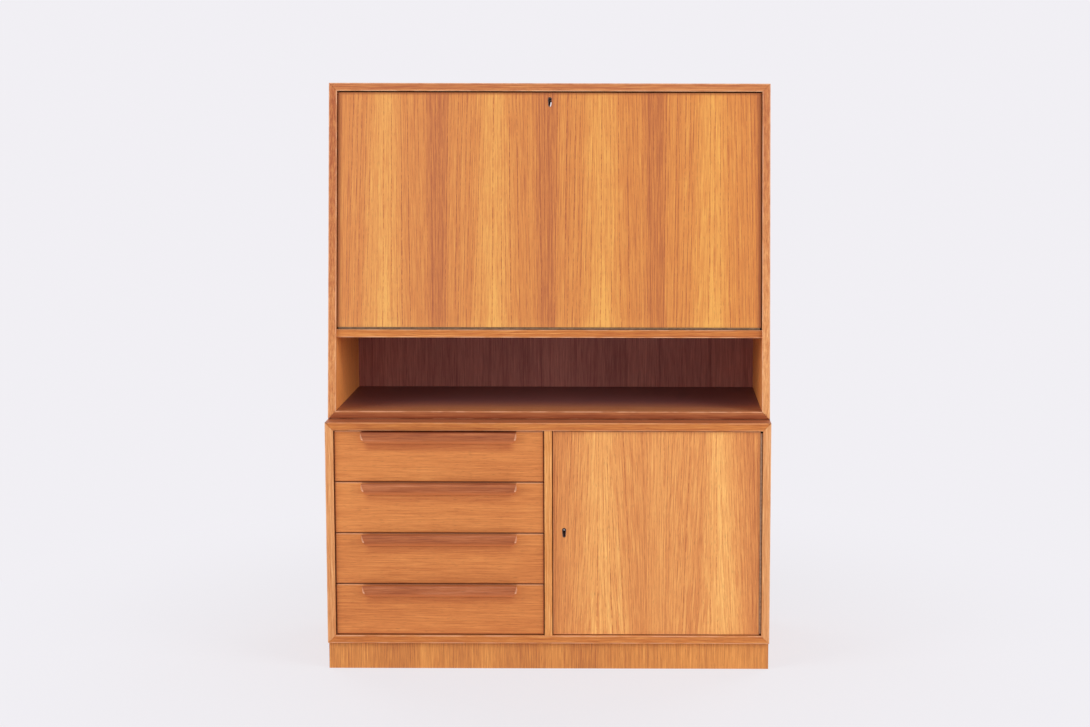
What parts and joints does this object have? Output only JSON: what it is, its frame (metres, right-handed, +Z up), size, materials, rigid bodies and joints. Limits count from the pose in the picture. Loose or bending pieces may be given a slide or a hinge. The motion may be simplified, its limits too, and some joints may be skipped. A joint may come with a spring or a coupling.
{
  "type": "secretary desk",
  "caption": "Two-part teak secretary desk with a leaning fall flap over an open niche, drawers with lip pulls, a hinged cupboard door and a plinth base.",
  "frame": {"origin": "on the floor, under the middle of the bounding box, drawer pulls included", "axes": "+X to the right of someone facing the fronts, +Y from the fronts to the back, +Z up"},
  "size_m": [1, 0.4262, 1.3226],
  "materials": {
    "teak_case": "oiled teak veneer with solid teak lipping, satin",
    "teak_pull": "oiled solid teak, redder and darker than the fronts",
    "teak_inside": "teak veneer, little oiled, dull",
    "drawer_birch": "lacquered birch, matt",
    "hinge_brass": "dulled brass plate",
    "lock_steel": "nickel plate, slightly dulled"
  },
  "bodies": {
    "cabinet": {"plinth_left": "teak_case", "plinth_right": "teak_case", "plinth_front": "teak_case", "plinth_back": "teak_case", "lower_side_left": "teak_case", "lower_side_right": "teak_case", "lower_bottom": "teak_case", "lower_top": "teak_case", "lower_divider": "teak_case", "lower_back": "teak_inside", "cupboard_shelf": "teak_inside", "door_hinge_frame_leaf": "hinge_brass", "door_hinge_pin": "lock_steel", "upper_side_left": "teak_case", "upper_side_right": "teak_case", "upper_bottom": "teak_case", "upper_top": "teak_case", "upper_shelf": "teak_case", "upper_back": "teak_inside", "desk_floor": "teak_inside", "flap_hinge_shelf_leaf": "hinge_brass", "flap_hinge_pin": "lock_steel", "gallery_upright_left": "teak_inside", "gallery_upright_centre": "teak_inside", "gallery_upright_right": "teak_inside", "gallery_shelf": "teak_inside"},
    "drawer_1": {"drawer_1_front": "teak_case", "drawer_1_pull": "teak_pull", "drawer_1_box": "drawer_birch", "drawer_1_bottom": "drawer_birch"},
    "drawer_2": {"drawer_2_front": "teak_case", "drawer_2_pull": "teak_pull", "drawer_2_box": "drawer_birch", "drawer_2_bottom": "drawer_birch"},
    "drawer_3": {"drawer_3_front": "teak_case", "drawer_3_pull": "teak_pull", "drawer_3_box": "drawer_birch", "drawer_3_bottom": "drawer_birch"},
    "drawer_4": {"drawer_4_front": "teak_case", "drawer_4_pull": "teak_pull", "drawer_4_box": "drawer_birch", "drawer_4_bottom": "drawer_birch"},
    "door": {"door_panel": "teak_case", "door_keyhole_liner": "lock_steel", "door_lock_case": "lock_steel", "door_hinge_door_leaf": "hinge_brass"},
    "door_bolt": {"door_lock_bolt": "lock_steel"},
    "flap": {"flap_panel": "teak_case", "flap_keyhole_liner": "lock_steel", "flap_lock_case": "lock_steel", "flap_hinge_flap_leaf": "hinge_brass", "stay_bracket_left": "hinge_brass", "stay_bracket_right": "hinge_brass"},
    "flap_bolt": {"flap_lock_bolt": "lock_steel"},
    "stay_rod_left": {"stay_rod_left": "lock_steel"},
    "stay_rod_right": {"stay_rod_right": "lock_steel"},
    "stay_guide_left": {"stay_guide_left": "hinge_brass"},
    "stay_guide_right": {"stay_guide_right": "hinge_brass"},
    "gallery_drawer_left": {"gallery_drawer_left": "drawer_birch"},
    "gallery_drawer_right": {"gallery_drawer_right": "drawer_birch"}
  },
  "joints": [
    {"name": "drawer_1_slide", "type": "slide", "parent": "cabinet", "child": "drawer_1", "axis": [0, -1, 0], "range_m": [0, 0.28]},
    {"name": "drawer_2_slide", "type": "slide", "parent": "cabinet", "child": "drawer_2", "axis": [0, -1, 0], "range_m": [0, 0.28]},
    {"name": "drawer_3_slide", "type": "slide", "parent": "cabinet", "child": "drawer_3", "axis": [0, -1, 0], "range_m": [0, 0.28]},
    {"name": "drawer_4_slide", "type": "slide", "parent": "cabinet", "child": "drawer_4", "axis": [0, -1, 0], "range_m": [0, 0.28]},
    {"name": "door_hinge", "type": "hinge", "parent": "cabinet", "child": "door", "pos_m": [0.4793, -0.19585, 0.3133], "axis": [0, 0, 1], "range_deg": [0, 110]},
    {"name": "door_bolt_slide", "type": "slide", "parent": "door", "child": "door_bolt", "axis": [-1, 0, 0], "range_m": [0, 0.0065]},
    {"name": "flap_hinge", "type": "hinge", "parent": "cabinet", "child": "flap", "pos_m": [0, -0.12764, 0.7703], "axis": [1, 0, 0], "range_deg": [0, 96.49]},
    {"name": "flap_bolt_slide", "type": "slide", "parent": "flap", "child": "flap_bolt", "axis": [0, 0.113, 0.9936], "range_m": [0, 0.0065]},
    {"name": "stay_rod_left_pivot", "type": "hinge", "parent": "flap", "child": "stay_rod_left", "pos_m": [-0.474, -0.08298, 0.92397], "axis": [1, 0, 0], "range_deg": [-48.25, 0]},
    {"name": "stay_rod_right_pivot", "type": "hinge", "parent": "flap", "child": "stay_rod_right", "pos_m": [0.474, -0.08298, 0.92397], "axis": [1, 0, 0], "range_deg": [-48.25, 0]},
    {"name": "stay_guide_left_swivel", "type": "hinge", "parent": "cabinet", "child": "stay_guide_left", "pos_m": [-0.474, -0.04713, 0.9086], "axis": [1, 0, 0], "range_deg": [0, 48.25]},
    {"name": "stay_guide_right_swivel", "type": "hinge", "parent": "cabinet", "child": "stay_guide_right", "pos_m": [0.474, -0.04713, 0.9086], "axis": [1, 0, 0], "range_deg": [0, 48.25]},
    {"name": "gallery_drawer_left_slide", "type": "slide", "parent": "cabinet", "child": "gallery_drawer_left", "axis": [0, -1, 0], "range_m": [0, 0.12]},
    {"name": "gallery_drawer_right_slide", "type": "slide", "parent": "cabinet", "child": "gallery_drawer_right", "axis": [0, -1, 0], "range_m": [0, 0.12]}
  ],
  "couplings": [
    {"joint": "stay_rod_left_pivot", "follows": "flap_hinge", "ratio": -0.5},
    {"joint": "stay_rod_right_pivot", "follows": "flap_hinge", "ratio": -0.5},
    {"joint": "stay_guide_left_swivel", "follows": "flap_hinge", "ratio": 0.5},
    {"joint": "stay_guide_right_swivel", "follows": "flap_hinge", "ratio": 0.5}
  ]
}
